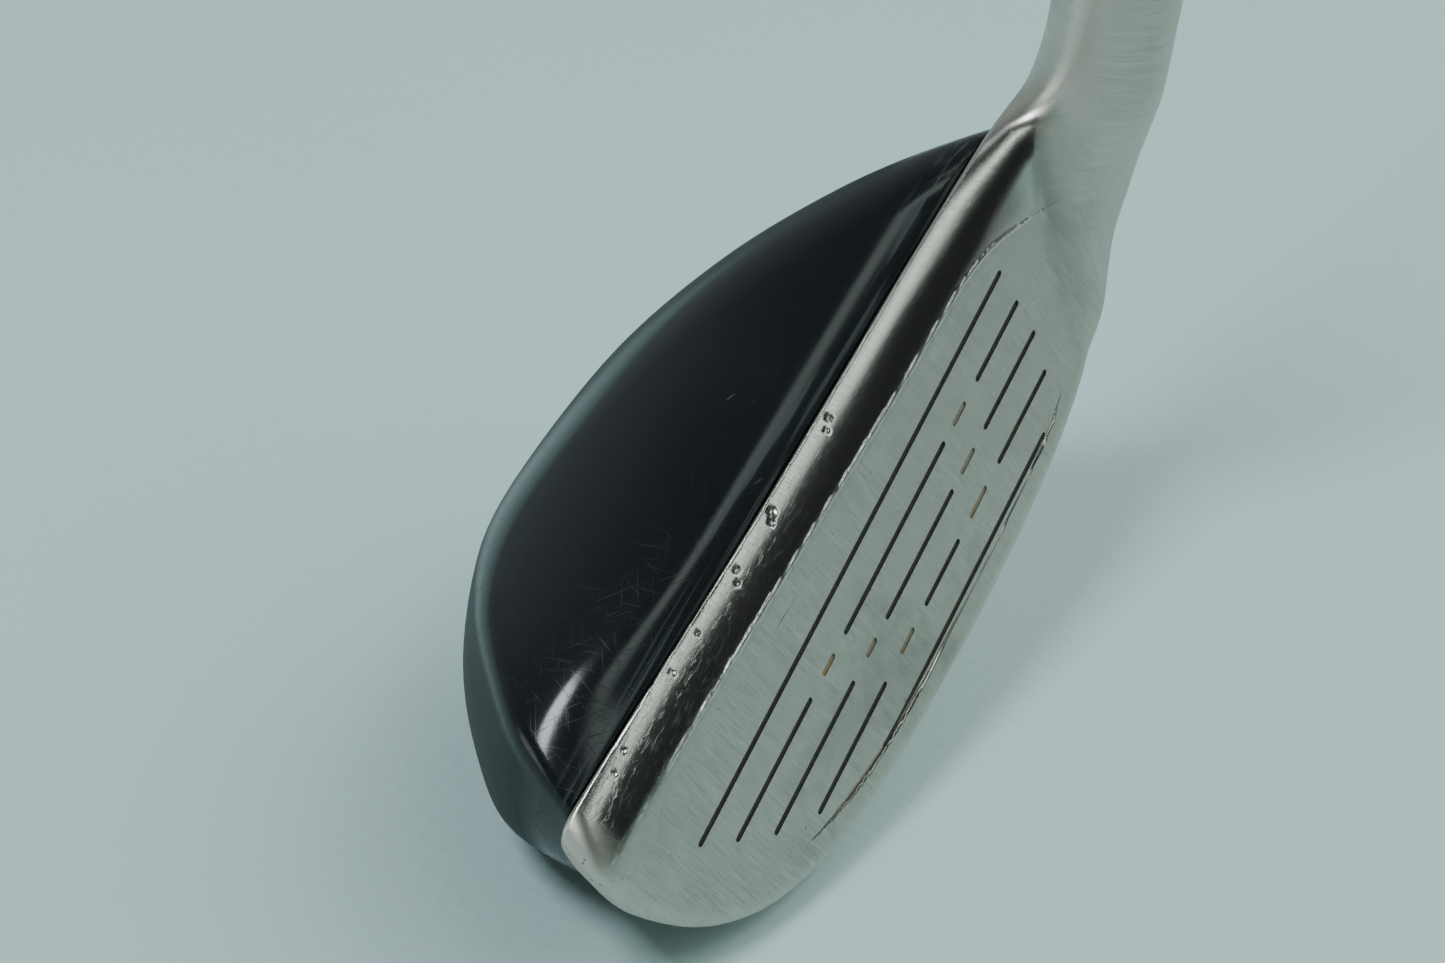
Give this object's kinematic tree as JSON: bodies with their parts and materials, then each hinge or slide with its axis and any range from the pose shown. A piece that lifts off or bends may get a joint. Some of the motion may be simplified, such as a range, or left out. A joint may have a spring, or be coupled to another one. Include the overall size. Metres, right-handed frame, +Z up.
{
  "type": "hybrid golf club",
  "caption": "Right-handed hybrid golf club: steel front and hosel, black domed crown, carbon shaft and rubber grip.",
  "frame": {"origin": "where the shaft axis meets the ground when the club is soled", "axes": "+Z up the shaft axis to the butt; +Y to the target, in front of the face; +X to the toe side, 30 degrees above the ground line"},
  "size_m": [0.1056, 0.0568, 1.0328],
  "materials": {
    "cast_steel": "satin, brushed, with a polished topline band",
    "face_steel": "satin, finely brushed",
    "weld_steel": "as cast",
    "line_paint": "matt black paint",
    "mark_paint": "worn paint",
    "black_paint": "gloss black",
    "weight_steel": "turned",
    "seal_rubber": "matt",
    "badge_metal": "satin",
    "hot_melt": "waxy",
    "epoxy": "cured",
    "ferrule_plastic": "gloss black",
    "ring_metal": "polished",
    "shaft_composite": "clear-coated carbon composite",
    "tip_brass": "turned",
    "label_foil": "silver foil",
    "tape": "paper",
    "grip_rubber": "matt, textured"
  },
  "bodies": {
    "root": {"front_body": "cast_steel", "face_plate": "face_steel", "face_weld_bead": "weld_steel", "score_line_paint": "line_paint", "score_mark_paint": "mark_paint", "crown": "black_paint", "rear_shell": "black_paint", "crown_ledge": "weld_steel", "weight_boss": "weld_steel", "sole_weight": "weight_steel", "weight_seal": "seal_rubber", "sole_badge": "badge_metal", "back_weight": "weld_steel", "damper_pad": "hot_melt", "hosel_stop": "weld_steel", "hosel_epoxy": "epoxy", "ferrule": "ferrule_plastic", "ferrule_ring": "ring_metal", "shaft": "shaft_composite", "tip_weight": "tip_brass", "shaft_label": "label_foil", "grip_tape": "tape", "grip": "grip_rubber", "grip_cap": "grip_rubber"}
  },
  "joints": []
}
